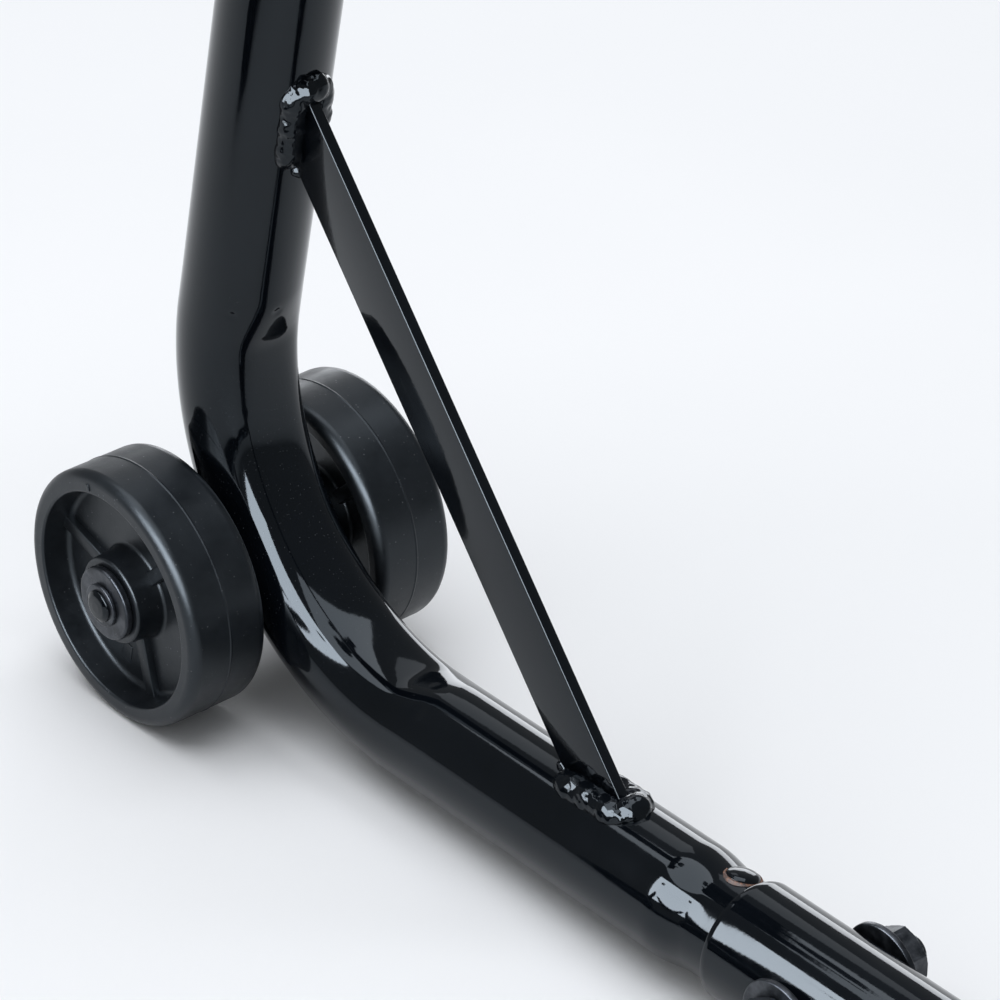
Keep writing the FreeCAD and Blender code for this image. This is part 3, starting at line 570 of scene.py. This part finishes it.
def build_handle():
    """U-shaped tube with open, slightly rounded mouths round the arms' inserts."""
    bolt_y = AXLE["r"].y - MOUTH_SETBACK
    low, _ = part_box("handle_bow")
    half = AXLE["r"].x
    z = AXLE["r"].z - LEG_DROP
    radius = 75 * MM
    rear = low.y + HANDLE_R
    straight = 30
    curved = 60
    path = []
    for step in range(straight):
        part = step / straight
        path.append((Vector((half, bolt_y + (rear + radius - bolt_y) * part, z)),
                     Vector((0, -1, 0))))
    for step in range(curved + 1):
        turn = math.pi / 2 * step / curved
        path.append((Vector((half - radius + radius * math.cos(turn),
                             rear + radius - radius * math.sin(turn), z)),
                     Vector((-math.sin(turn), -math.cos(turn), 0))))
    path += [(Vector((-point.x, point.y, z)), Vector((direction.x, -direction.y, 0)))
             for point, direction in reversed(path)]
    count = 160

    def ring(point, direction, size, shift=0.0):
        side_way = Vector((direction.y, -direction.x, 0))
        return [point + direction * shift + side_way * size * math.cos(2 * math.pi * k / count)
                + Vector((0, 0, 1)) * size * math.sin(2 * math.pi * k / count)
                for k in range(count)]

    inner = HANDLE_R - HANDLE_WALL
    lip = 0.7 * MM
    mouth = [(inner, 40 * MM), (inner, 2 * MM), (inner, lip), (inner + 0.3 * lip, 0.3 * lip),
             (inner + lip, 0.0), (HANDLE_R - lip, 0.0), (HANDLE_R - 0.3 * lip, 0.3 * lip),
             (HANDLE_R, lip), (HANDLE_R, 2 * MM)]
    rings = [ring(*path[0], size, shift) for size, shift in mouth]
    rings += [ring(point, direction, HANDLE_R) for point, direction in path[2:-2]]
    rings += [ring(*path[-1], size, -shift) for size, shift in reversed(mouth)]
    mesh = skin("handle_skin", rings)
    fix_normals(mesh)
    piece = link(mesh, "handle_skin")
    shade(piece, COAT, 40)
    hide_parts("handle_bow")
    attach(piece, "frame")


# ---------------------------------------------------------------- wheels

# Moulded wheels: the seam is the thin parting line round the tread.
WHEEL_BORE_R = 5.08 * MM
BARREL_R = 13.5 * MM
RIM_THICK = 6.6 * MM
RECESS_DEPTH = 9.3 * MM
RECESS_DRAFT = 0.8 * MM
SEAM_HEIGHT = 0.16 * MM
RIB_ANGLES = [math.radians(17 + 120 * index) for index in range(3)]
RIB_WIDTH = 5.0 * MM
RIB_BELOW_FACE = 7.0 * MM
RIB_SINK = 0.6 * MM
RIB_EDGE = 0.45 * MM
RIB_TAPER = 0.86


def wheel_outline(half, radius):
    """Half outline of a wheel from the bore's middle out to the tread's middle."""
    face, tyre = half / MM, radius / MM
    bore, barrel, draft = WHEEL_BORE_R / MM, BARREL_R / MM, RECESS_DRAFT / MM
    rim, web = (radius - RIM_THICK) / MM, (half - RECESS_DEPTH) / MM
    tread = (radius - SEAM_HEIGHT) / MM
    corners = [
        (0, bore, 0), (face - 0.01, bore, 0.5), (face, barrel, 0.9),
        (web, barrel + draft, 1.2), (web, rim - draft, 1.8), (face, rim, 0.8),
        (face, tread, 3.3), (0.35, tread, 0), (0.12, tyre, 0), (0, tyre, 0),
    ]
    return [(point.x * MM, point.y * MM) for point in rounded(corners)]


def build_wheel(node, face_out):
    """Moulded wheel; face_out is +1 or -1, the way its washer and retaining ring face."""
    low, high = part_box(node)
    centre = (low + high) / 2
    half = (high.x - low.x) / 2
    radius = (high.z - low.z) / 2
    rim = radius - RIM_THICK
    web = half - RECESS_DEPTH
    right = wheel_outline(half, radius)
    outline = [(-x, r) for x, r in right] + right[::-1][1:]
    meshes = [turned(f"{node}_body", centre, outline, 256)]
    for face in (-1, 1):
        for angle in RIB_ANGLES:
            meshes.append(wheel_rib(centre, face, angle, web, half, rim))
    meshes += mould_marks(centre, face_out, web, half, rim)
    finish_piece(join_meshes(f"{node}_skin", meshes), f"{node}_skin", node, node, WHEEL)


def wheel_rib(centre, face, angle, web, half, rim):
    """Low, wide rib on the web between the barrel and the rim."""
    low = web - RIB_SINK
    high = half - RIB_BELOW_FACE
    mesh = rounded_box((high - low, rim - BARREL_R, RIB_WIDTH), RIB_EDGE)
    for vertex in mesh.vertices:
        if vertex.co.x > 0:
            vertex.co.z *= RIB_TAPER
    turn = Matrix.Rotation(angle, 4, "X")
    flip = Matrix.Scale(face, 4, Vector((1, 0, 0)))
    shift = Matrix.Translation(Vector(((low + high) / 2, (BARREL_R + rim) / 2, 0)))
    mesh.transform(Matrix.Translation(centre) @ turn @ flip @ shift)
    return mesh


def mould_marks(centre, face, web, half, rim):
    """Blank raised pad on the web and the gate scar on the rim that moulding leaves."""
    marks = []
    for size, edge, angle, x, reach in (
            ((0.5, 6.6, 4.6), 0.22, -76, web, 25.2 * MM),
            ((0.7, 2.2, 1.3), 0.20, 77, half, rim + 2.2 * MM)):
        mark = rounded_box([side * MM for side in size], edge * MM)
        place = (Matrix.Rotation(math.radians(angle), 4, "X")
                 @ Matrix.Translation(Vector((face * x, reach, 0))))
        mark.transform(Matrix.Translation(centre) @ place)
        marks.append(mark)
    return marks


# ---------------------------------------------------------------- axle ends

def build_washers(node, centre, low_x, high_x, outer, bore, edge):
    """Pair of steel washers with softened edges, between two distances either side of centre."""
    meshes = []
    for sign in (1, -1):
        outline = rounded([
            (low_x / MM, bore / MM, 0), (low_x / MM, outer / MM, edge),
            (high_x / MM, outer / MM, edge), (high_x / MM, bore / MM, edge * 0.5),
            (low_x / MM, bore / MM, 0)], 4)
        points = [(sign * point.x * MM, point.y * MM) for point in outline]
        meshes.append(turned(node, centre, points, 128))
    finish_piece(join_meshes(f"{node}_skin", meshes), f"{node}_skin", node, "frame", STEEL)


def build_axle(side):
    """Axle with grooved, rounded ends, its outer washers and its retaining rings."""
    centre = AXLE[side]
    low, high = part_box(f"axle_rod_{side}")
    half = (high.x - low.x) / 2 / MM
    rod, groove = 5.0, 4.4
    groove_in = half - 2.9
    groove_out = groove_in + 1.4
    ends = [(0, rod, 0), (groove_in, rod, 0.1), (groove_in, groove, 0.1), (groove_out, groove, 0.1),
            (groove_out, rod, 0.1), (half - 0.9, rod, 0.7), (half - 0.15, 3.6, 1.5),
            (half, 1.6, 1.5), (half, 0.02, 0)]
    right = [(point.x * MM, point.y * MM) for point in rounded(ends, 5)]
    outline = [(-x, r) for x, r in right[::-1]] + right[1:]
    finish_piece(turned(f"axle_{side}_skin", centre, outline, 96), f"axle_{side}_skin",
                 f"axle_rod_{side}", "frame", COAT, 50)
    for name, thick, outer, bore, edge in (("outer_washers", 2.4, 11.5, 5.1, 0.7),
                                           ("axle_clips", 1.2, 6.68, 4.5, 0.35)):
        low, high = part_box(f"{name}_{side}")
        reach = (high.x - low.x) / 2
        build_washers(f"{name}_{side}", centre, reach - thick * MM, reach, outer * MM, bore * MM,
                      edge)


# ---------------------------------------------------------------- fasteners

def hexagon(across):
    """Radius of a hexagonal prism whose corners are cut back to a round outline."""
    def shape(x, angle, radius):
        turn = (angle + math.pi / 6) % (math.pi / 3) - math.pi / 6
        return min(radius, across / 2 / math.cos(turn))
    return shape


def build_nut(name, centre, start, end, across, bore):
    """Hexagon nut or head along X with chamfered corners."""
    corner = across / math.sqrt(3)
    flat = across * 0.47
    slope = 0.55
    sizes = [flat + (corner - flat) * part for part in (0.15, 0.4, 0.7, 1.0)]
    outline = [(start, bore), (start, flat)]
    outline += [(start + (size - flat) * slope, size) for size in sizes]
    outline += [(end - (size - flat) * slope, size) for size in reversed(sizes)]
    outline += [(end, flat), (end, bore + 0.5 * MM), (end - 0.5 * MM, bore)]
    return turned(name, centre, outline, 144, hexagon(across))


def thread(centre, low_x, high_x, radius, pitch):
    """Rod with a right-hand thread between two distances along X."""
    outline = []
    x = low_x
    while x <= high_x:
        outline.append((x, radius))
        x += pitch / 10
    outline.append((high_x, radius))
    outline.append((high_x, 0.02 * MM))

    def shape(x, angle, r):
        if r < radius * 0.5:
            return r
        phase = ((x / pitch) - angle / (2 * math.pi)) % 1.0
        depth = pitch * 0.55 * (abs(phase - 0.5) * 2)
        fade = min(1.0, abs(high_x - x) / (pitch * 0.8))
        taper = (1 - fade) * pitch * 0.5
        return r - max(depth, taper)

    return turned("thread", centre, outline, 64, shape)


BOLT_ACROSS = 17 * MM
BOLT_HEAD = 6.4 * MM
BOLT_TAIL = 11.5 * MM
NUT_HEIGHT = 8 * MM
JOINT_WASHER = 2 * MM


def build_joint(side):
    """Through-bolt, washers and nut of the handle joint."""
    centre = JOINT_BOLT[side].copy()
    centre.x = AXLE[side].x
    face = HANDLE_R + JOINT_WASHER
    head = [build_nut("head", centre, -face - BOLT_HEAD, -face, BOLT_ACROSS, 0.02 * MM),
            thread(centre, -face, face + BOLT_TAIL, 5 * MM, 1.5 * MM)]
    nut = [build_nut("nut", centre, face, face + NUT_HEIGHT, BOLT_ACROSS, 5.05 * MM)]
    if SIDES[side] < 0:
        turn = (Matrix.Translation(centre) @ Matrix.Rotation(math.pi, 4, "Z")
                @ Matrix.Translation(-centre))
        for mesh in head + nut:
            mesh.transform(turn)
    for name, meshes in (("bolt", head), ("nut", nut)):
        finish_piece(join_meshes(name, meshes), f"joint_{name}_{side}_skin",
                     f"joint_{name}_{side}", "frame", STEEL)
    build_washers(f"joint_washers_{side}", centre, HANDLE_R, face, 13 * MM, 5.3 * MM, 0.5)


def build_stud(side):
    """Threaded clamp screw along Y, its point towards the lifting bar."""
    low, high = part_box(f"clamp_stud_{side}")
    middle = (low + high) / 2
    mesh = thread(Vector((0, 0, 0)), 0, high.y - low.y, 4 * MM, 1.25 * MM)
    mesh.transform(Matrix.Translation(Vector((middle.x, low.y, middle.z)))
                   @ Matrix.Rotation(math.pi / 2, 4, "Z"))
    finish_piece(mesh, f"clamp_stud_{side}_skin", f"clamp_stud_{side}", f"clamp_stud_{side}",
                 STEEL)


# ---------------------------------------------------------------- welds

def bead(name, path, size, ripple, wobble):
    """Weld bead: a lumpy sausage along a path of (point, outward) pairs."""
    lengths = [0.0]
    for (before, _), (here, _) in zip(path, path[1:]):
        lengths.append(lengths[-1] + (here - before).length)
    total = lengths[-1]
    steps = max(int(total / (0.5 * MM)), 8)
    count = 28
    phase = RNG.uniform(0, 6.28)
    drift = [RNG.uniform(-1, 1) for _ in range(12)]
    rings = []
    for step in range(steps + 1):
        along = total * step / steps
        index = max(k for k, length in enumerate(lengths) if length <= along + 1e-9)
        index = min(index, len(path) - 2)
        span = lengths[index + 1] - lengths[index]
        part = (along - lengths[index]) / span
        point = path[index][0].lerp(path[index + 1][0], part)
        outward = path[index][1].lerp(path[index + 1][1], part).normalized()
        tangent = (path[index + 1][0] - path[index][0]).normalized()
        across = tangent.cross(outward).normalized()
        outward = across.cross(tangent).normalized()
        wave = math.sin(2 * math.pi * along / ripple + phase)
        slow = sum(d * math.sin(along / MM / (3 + k) + k) for k, d in enumerate(drift)) / 8
        end = min(along, total - along) / size
        round_end = math.sqrt(max(1 - max(1 - end, 0) ** 2, 0.0004))
        radius = size * (1 + wobble * 0.3 * wave + wobble * slow) * round_end
        rings.append([point + (across * math.cos(2 * math.pi * k / count)
                               + outward * math.sin(2 * math.pi * k / count)) * radius
                      for k in range(count)])
    mesh = skin(name, rings)
    cap_rings(mesh, count)
    return mesh


def tube_surface(line, s, around, lift):
    """Point over the arm's skin and its outward direction; around is measured from the inside."""
    point, _, inward = line.at(s)
    angle = math.radians(around)
    outward = Vector((-1, 0, 0)) * math.sin(angle) + inward * math.cos(angle)
    return point + outward * (TUBE_R + lift), outward


def melt(name, meshes, body, voxel):
    """Make one weld piece of overlapping beads."""
    piece = finish_piece(join_meshes(name, meshes), name, None, body, COAT, 80)
    soften(piece, voxel)


BRACE_OFFSET = 133.8 * MM
BRACE_WIDTH = 19.5 * MM


def brace_feet(side, line):
    """Beads round both ends of the flat bar."""
    low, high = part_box(f"arm_brace_{side}")
    half = (high.x - low.x) / 2
    reach = math.degrees(math.asin(half / TUBE_R))
    corner_s = BEND_R * math.tan(BEND_TURN / 2)
    outer = BRACE_OFFSET / math.sin(BEND_TURN / 2)
    inner = (BRACE_OFFSET - BRACE_WIDTH) / math.sin(BEND_TURN / 2)
    shift = TUBE_R / math.tan((math.pi - BEND_TURN) / 2)
    meshes = []
    for end in ("leg", "upright"):
        if end == "leg":
            far, near = (corner_s - shift - distance for distance in (outer, inner))
            beyond = -1
        else:
            far, near = (line.bend_length - corner_s + shift + distance
                         for distance in (outer, inner))
            beyond = 1
        path = []
        for sign in (1, -1):
            stations = [near + (far - near) * k / 8 for k in range(9)]
            if sign < 0:
                stations.reverse()
            for s in stations:
                point, outward = tube_surface(line, s, sign * (reach + 8), -1.0 * MM)
                side_out = (outward + Vector((-sign, 0, 0)) * 0.8).normalized()
                path.append((point, side_out))
            if sign > 0:
                path.append(tube_surface(line, far + beyond * 2.2 * MM, 0, 0.3 * MM))
        meshes.append(bead(f"brace_{end}", path, 4.5 * MM, 7.5 * MM, 0.13))
        blob = [tube_surface(line, near - beyond * 1.4 * MM, a, 0.1 * MM) for a in (9, 0, -9)]
        meshes.append(bead("toe", blob, 2.2 * MM, 4 * MM, 0.2))
    melt(f"brace_welds_{side}", meshes, "frame", 0.45 * MM)


def soften(piece, voxel):
    """Melt overlapping weld lumps into one skin."""
    remesh = piece.modifiers.new("melt", "REMESH")
    remesh.mode = "VOXEL"
    remesh.voxel_size = voxel
    remesh.use_smooth_shade = True
    settle = piece.modifiers.new("settle", "SMOOTH")
    settle.factor = 0.6
    settle.iterations = 5
    lumps = bpy.data.textures.get("lumps") or bpy.data.textures.new("lumps", "CLOUDS")
    lumps.noise_scale = 4 * MM
    lumps.noise_depth = 2
    uneven = piece.modifiers.new("uneven", "DISPLACE")
    uneven.texture = lumps
    uneven.strength = 1.1 * MM


def boss_welds(side, line):
    """Beads where the axle boss sits in the outside of the bend."""
    centre = AXLE[side]
    meshes = []
    hub = line.bend_start + Vector((0, 0, BEND_R))
    away = (centre - hub).normalized()
    for sign in (1, -1):
        path = []
        for step in range(-6, 7):
            angle = step / 6 * math.radians(62)
            x = sign * TUBE_R * 0.80
            turn = Matrix.Rotation(angle, 3, "X")
            out = turn @ -away
            path.append((centre + Vector((x, 0, 0)) + out * BOSS_R, out))
        meshes.append(bead("boss", path, 2.4 * MM, 4 * MM, 0.25))
    melt(f"boss_welds_{side}", meshes, "frame", 0.5 * MM)


def receiver_welds(side, line):
    """Bead round the top of the upright under the square receiver."""
    point, _, _ = line.at(line.end())
    half = 14 * MM
    path = []
    for step in range(49):
        edge = line.top_edge(2 * math.pi * step / 48)
        out = Vector((edge.x - point.x, edge.y - point.y, 0)).normalized()
        edge.y = min(max(edge.y, RECEIVER[side].y - half), RECEIVER[side].y + half)
        path.append((edge + Vector((0, 0, -0.8 * MM)), out))
    meshes = [bead("ring", path, 2.1 * MM, 4.2 * MM, 0.25)]
    melt(f"receiver_welds_{side}", meshes, "frame", 0.5 * MM)


def clamp_welds(side):
    """Bead that holds the weld nut on the receiver's face."""
    low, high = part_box(f"clamp_nut_{side}")
    middle = (low + high) / 2
    path = []
    for step in range(33):
        angle = 2 * math.pi * step / 32
        out = Vector((math.cos(angle), 0, math.sin(angle)))
        path.append((Vector((middle.x, high.y - 0.5 * MM, middle.z)) + out * 7.3 * MM, out))
    melt(f"clamp_welds_{side}", [bead("ring", path, 1.5 * MM, 3.4 * MM, 0.15)], "frame", 0.4 * MM)


def paddle_welds(side):
    """Two beads between the lifting bar and the underside of its paddle."""
    low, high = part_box(f"paddle_{side}")
    bar_low, bar_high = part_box(f"lift_bar_{side}")
    meshes = []
    for y, out in ((bar_low.y, -1), (bar_high.y, 1)):
        path = [(Vector((low.x + (high.x - low.x) * part, y, bar_high.z - 0.4 * MM)),
                 Vector((0, out, -0.3))) for part in (0.10, 0.4, 0.7, 0.9)]
        meshes.append(bead("paddle", path, 1.7 * MM, 3.6 * MM, 0.15))
    melt(f"paddle_welds_{side}", meshes, f"lift_bar_{side}", 0.4 * MM)


PLUG_SETBACK = 214.7 * MM
PLUG_LEAN = math.radians(-17)
# Outlines of the plug and of the rust round it: height and radius in millimetres.
DOME = ((-1.2, 5.2), (0.35, 4.7), (0.85, 4.0), (1.2, 3.0), (1.4, 1.6), (1.45, 0.02))
BLOOM = ((-1.5, 5.6), (-0.25, 5.55), (0.05, 5.3), (0.05, 4.9), (-0.6, 4.7))


def plug_weld(side, line):
    """Small domed plug in the top of the neck with a rust bloom round it."""
    s = BEND_SETBACK - PLUG_SETBACK
    point, _, _ = line.at(s)
    angle = PLUG_LEAN * SIDES[side]
    outward = Vector((-math.sin(angle), 0, math.cos(angle)))
    base = point + outward * (tube_radius(s) + 0.1 * MM)
    turn = Vector((1, 0, 0)).rotation_difference(outward).to_matrix().to_4x4()
    for name, profile, material in (("plug", DOME, COAT), ("rust", BLOOM, RUST)):
        outline = [(x * MM, r * MM) for x, r in profile]
        mesh = turned(name, Vector((0, 0, 0)), outline, 64)
        mesh.transform(Matrix.Translation(base) @ turn)
        finish_piece(mesh, f"{name}_{side}", None, "frame", material, 80)


# ---------------------------------------------------------------- plain CAD parts

def refine(node, material, width):
    """Smooth a CAD part and soften its edges without moving its mesh."""
    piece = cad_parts[node]
    weld = piece.modifiers.new("weld", "WELD")
    weld.merge_threshold = 0.002 * MM
    merge = piece.modifiers.new("flats", "DECIMATE")
    merge.decimate_type = "DISSOLVE"
    merge.angle_limit = math.radians(1.0)
    bevel = piece.modifiers.new("edges", "BEVEL")
    bevel.width = width
    bevel.segments = 3
    bevel.limit_method = "ANGLE"
    bevel.angle_limit = math.radians(30)
    bevel.harden_normals = True
    shade(piece, material)


# CAD parts that keep their mesh: material and width of the softened edges in millimetres.
PLAIN_PARTS = (("arm_brace", COAT, 0.45), ("axle_boss", COAT, 0.6), ("bar_receiver", COAT, 0.35),
               ("lift_bar", COAT, 0.3), ("paddle", COAT, 0.5), ("clamp_nut", COAT, 0.35),
               ("inner_washers", STEEL, 0.2), ("floor_sleeve", RUBBER, 0.8),
               ("paddle_pad", RUBBER, 0.9), ("clamp_knob", KNOB, 0.6), ("bar_plugs", PLUG, 0.4))


def dress_plain_parts():
    for side in SIDES:
        for name, material, width in PLAIN_PARTS:
            refine(f"{name}_{side}", material, width * MM)


# ---------------------------------------------------------------- studio

def soft_box(name, centre, aim, width, height, radiance, only_reflected=False):
    """Rectangular light panel facing a point, hidden from the camera."""
    light = bpy.data.lights.new(name, "AREA")
    light.shape = "RECTANGLE"
    light.size = width
    light.size_y = height
    light.energy = radiance * math.pi * width * height
    light.color = (0.97, 0.99, 1.03)
    holder = bpy.data.objects.new(name, light)
    bpy.context.scene.collection.objects.link(holder)
    holder.location = centre
    direction = Vector(aim) - Vector(centre)
    holder.rotation_euler = direction.to_track_quat("-Z", "Y").to_euler()
    holder.visible_camera = False
    holder.visible_diffuse = not only_reflected


def build_studio():
    """Pale floor, pale room and four soft panels."""
    far = 9
    ground = bpy.data.meshes.new("ground")
    ground.from_pydata([(-far, -far, 0), (far, -far, 0), (far, far, 0), (-far, far, 0)], [],
                       [(0, 1, 2, 3)])
    floor = link(ground, "ground")
    floor.data.materials.append(FLOOR)
    world = bpy.data.worlds.new("room")
    bpy.context.scene.world = world
    world.use_nodes = True
    world.node_tree.nodes["Background"].inputs["Color"].default_value = (0.96, 0.985, 1.0, 1.0)
    world.node_tree.nodes["Background"].inputs["Strength"].default_value = 0.25
    bpy.context.scene.view_settings.view_transform = "Standard"
    axle = AXLE["r"]
    soft_box("back", axle + Vector((1.40, 1.13, 0.21)), axle, 1.3, 0.5, 4.2, only_reflected=True)
    soft_box("side", axle + Vector((-0.30, -0.24, 0.20)), axle + Vector((0, -0.24, 0.04)),
             0.56, 0.26, 17.0, only_reflected=True)
    soft_box("top", axle + Vector((0.95, 1.25, 1.45)), axle, 0.9, 0.6, 0.9)
    soft_box("overhead", axle + Vector((-0.1, 0.1, 2.2)), axle, 2.4, 2.4, 3.1)


# Camera: azimuth, elevation and roll in degrees, aim from the right axle, distance, focal length.
CAMERA_ANGLES = (-40.27, 31.48, -0.19)
CAMERA_AIM = Vector((0.0633, -0.0447, 0.0110))
CAMERA_DISTANCE = 1.368
CAMERA_LENS = 165.2


def build_camera():
    """Long lens above and behind the right arm, aimed between its wheels and its joint."""
    azimuth, elevation, roll = (math.radians(angle) for angle in CAMERA_ANGLES)
    data = bpy.data.cameras.new("camera")
    data.sensor_width = 36
    data.lens = CAMERA_LENS
    data.clip_start = 0.05
    data.clip_end = 50
    camera = bpy.data.objects.new("camera", data)
    bpy.context.scene.collection.objects.link(camera)
    turn = (Matrix.Rotation(azimuth, 4, "Z") @ Matrix.Rotation(math.pi / 2 - elevation, 4, "X")
            @ Matrix.Rotation(roll, 4, "Z"))
    camera.matrix_world = (Matrix.Translation(AXLE["r"] + CAMERA_AIM) @ turn
                           @ Matrix.Translation((0, 0, CAMERA_DISTANCE)))
    bpy.context.scene.camera = camera


def main():
    for side in SIDES:
        line = build_arm(side)
        brace_feet(side, line)
        boss_welds(side, line)
        receiver_welds(side, line)
        plug_weld(side, line)
        clamp_welds(side)
        paddle_welds(side)
        build_axle(side)
        build_joint(side)
        build_stud(side)
        for place, out in (("outer", SIDES[side]), ("inner", -SIDES[side])):
            build_wheel(f"wheel_{side}_{place}", out)
    build_handle()
    dress_plain_parts()
    build_studio()
    build_camera()


main()
